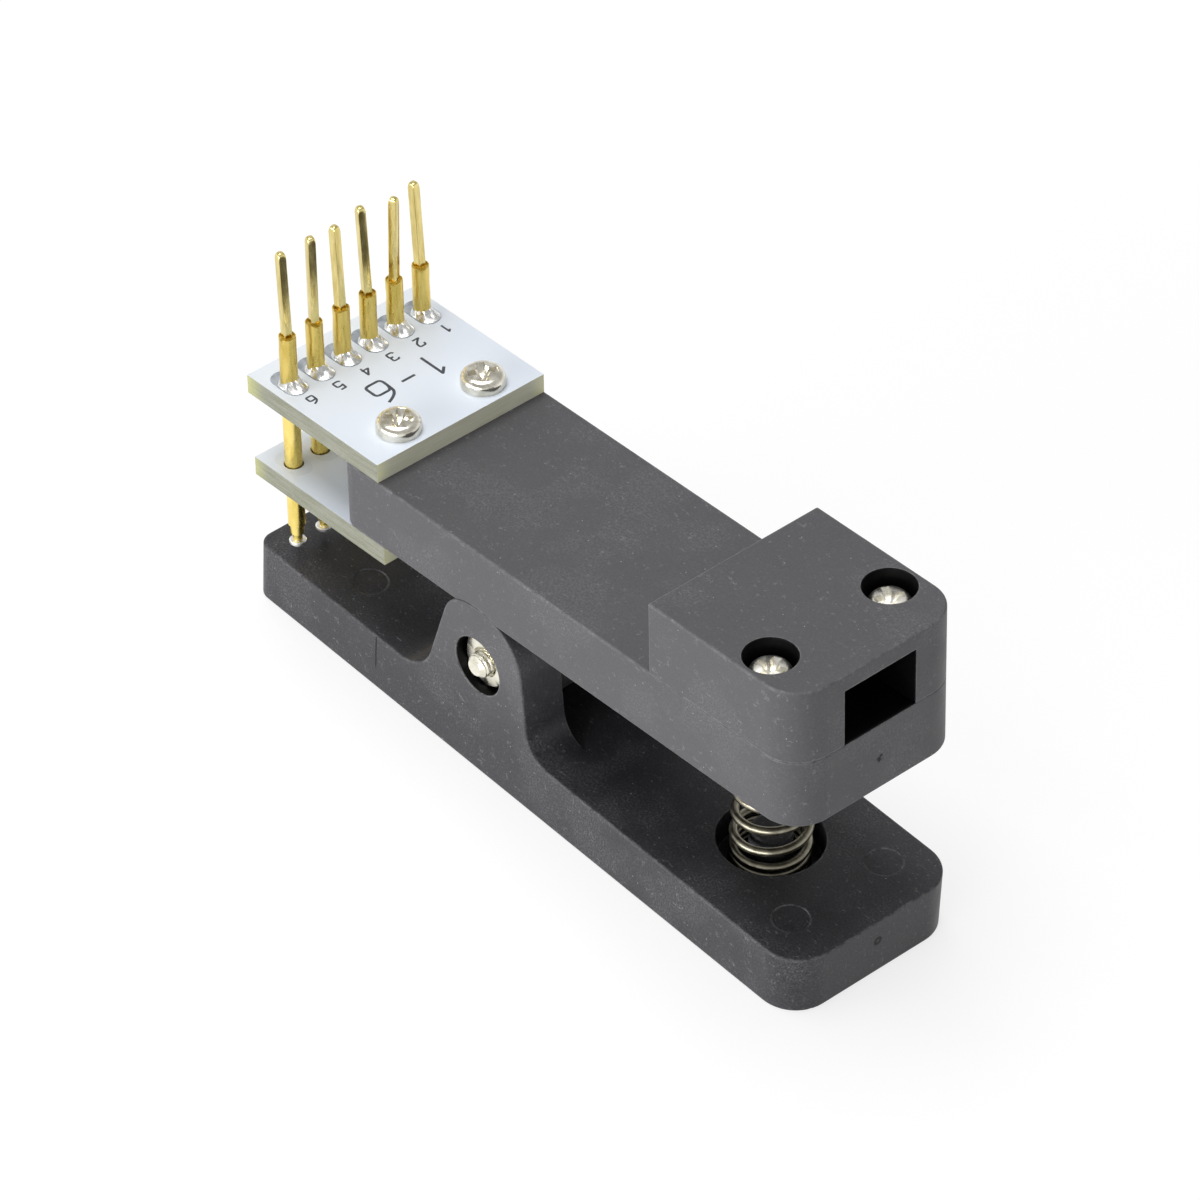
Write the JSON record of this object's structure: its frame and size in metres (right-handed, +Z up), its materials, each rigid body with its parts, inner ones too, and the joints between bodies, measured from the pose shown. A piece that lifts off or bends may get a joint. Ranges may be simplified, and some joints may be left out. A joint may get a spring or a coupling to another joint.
{
  "type": "pogo pin programming clip",
  "caption": "Spring clip with a row of sprung contact probes at its jaw, wire-wrap posts above them and a cable clamp on its squeezed end.",
  "frame": {"origin": "middle of the lower arm's underside", "axes": "+X along the arms towards the squeezed end, -X towards the probes, +Z up from the surface that it lies on"},
  "size_m": [0.0602, 0.0163, 0.0324],
  "materials": {
    "black_plastic": "fine moulded satin",
    "white_board": "white solder mask over pale laminate",
    "pad_metal": "tinned",
    "solder": "bright",
    "gold_plate": "polished plating",
    "plunger_plate": "polished plating",
    "screw_steel": "nickel plate",
    "spring_steel": "dark drawn wire"
  },
  "bodies": {
    "lower_half": {"lower_arm": "black_plastic", "pivot_screw": "screw_steel", "pivot_nut": "screw_steel", "return_spring": "spring_steel"},
    "upper_half": {"upper_arm": "black_plastic", "cable_cover": "black_plastic", "cover_screws": "screw_steel", "top_board": "white_board", "lower_board": "white_board", "top_board_pads": "pad_metal", "lower_board_pads": "pad_metal", "top_board_solder": "solder", "lower_board_solder": "solder", "top_board_screws": "screw_steel", "lower_board_screws": "screw_steel", "probe_sleeve_1": "gold_plate", "probe_sleeve_2": "gold_plate", "probe_sleeve_3": "gold_plate", "probe_sleeve_4": "gold_plate", "probe_sleeve_5": "gold_plate", "probe_sleeve_6": "gold_plate", "wire_post_1": "gold_plate", "wire_post_2": "gold_plate", "wire_post_3": "gold_plate", "wire_post_4": "gold_plate", "wire_post_5": "gold_plate", "wire_post_6": "gold_plate", "probe_barrel_1": "gold_plate", "probe_barrel_2": "gold_plate", "probe_barrel_3": "gold_plate", "probe_barrel_4": "gold_plate", "probe_barrel_5": "gold_plate", "probe_barrel_6": "gold_plate", "probe_spring_1": "spring_steel", "probe_spring_2": "spring_steel", "probe_spring_3": "spring_steel", "probe_spring_4": "spring_steel", "probe_spring_5": "spring_steel", "probe_spring_6": "spring_steel"},
    "plunger_1": {"probe_plunger_1": "plunger_plate"},
    "plunger_2": {"probe_plunger_2": "plunger_plate"},
    "plunger_3": {"probe_plunger_3": "plunger_plate"},
    "plunger_4": {"probe_plunger_4": "plunger_plate"},
    "plunger_5": {"probe_plunger_5": "plunger_plate"},
    "plunger_6": {"probe_plunger_6": "plunger_plate"}
  },
  "joints": [
    {"name": "jaw_pivot", "type": "hinge", "parent": "lower_half", "child": "upper_half", "pos_m": [-0.0046, 0, 0.00995], "axis": [0, 1, 0], "range_deg": [0, 19], "stiffness_Nm_per_rad": 0.5, "springref_deg": -0.69, "deforming": ["return_spring"]},
    {"name": "plunger_1_slide", "type": "slide", "parent": "upper_half", "child": "plunger_1", "axis": [-0.0758, 0, 0.9971], "range_m": [0, 0.0005], "stiffness_N_per_m": 300, "deforming": ["probe_spring_1"]},
    {"name": "plunger_2_slide", "type": "slide", "parent": "upper_half", "child": "plunger_2", "axis": [-0.0758, 0, 0.9971], "range_m": [0, 0.0005], "stiffness_N_per_m": 300, "deforming": ["probe_spring_2"]},
    {"name": "plunger_3_slide", "type": "slide", "parent": "upper_half", "child": "plunger_3", "axis": [-0.0758, 0, 0.9971], "range_m": [0, 0.0005], "stiffness_N_per_m": 300, "deforming": ["probe_spring_3"]},
    {"name": "plunger_4_slide", "type": "slide", "parent": "upper_half", "child": "plunger_4", "axis": [-0.0758, 0, 0.9971], "range_m": [0, 0.0005], "stiffness_N_per_m": 300, "deforming": ["probe_spring_4"]},
    {"name": "plunger_5_slide", "type": "slide", "parent": "upper_half", "child": "plunger_5", "axis": [-0.0758, 0, 0.9971], "range_m": [0, 0.0005], "stiffness_N_per_m": 300, "deforming": ["probe_spring_5"]},
    {"name": "plunger_6_slide", "type": "slide", "parent": "upper_half", "child": "plunger_6", "axis": [-0.0758, 0, 0.9971], "range_m": [0, 0.0005], "stiffness_N_per_m": 300, "deforming": ["probe_spring_6"]}
  ]
}
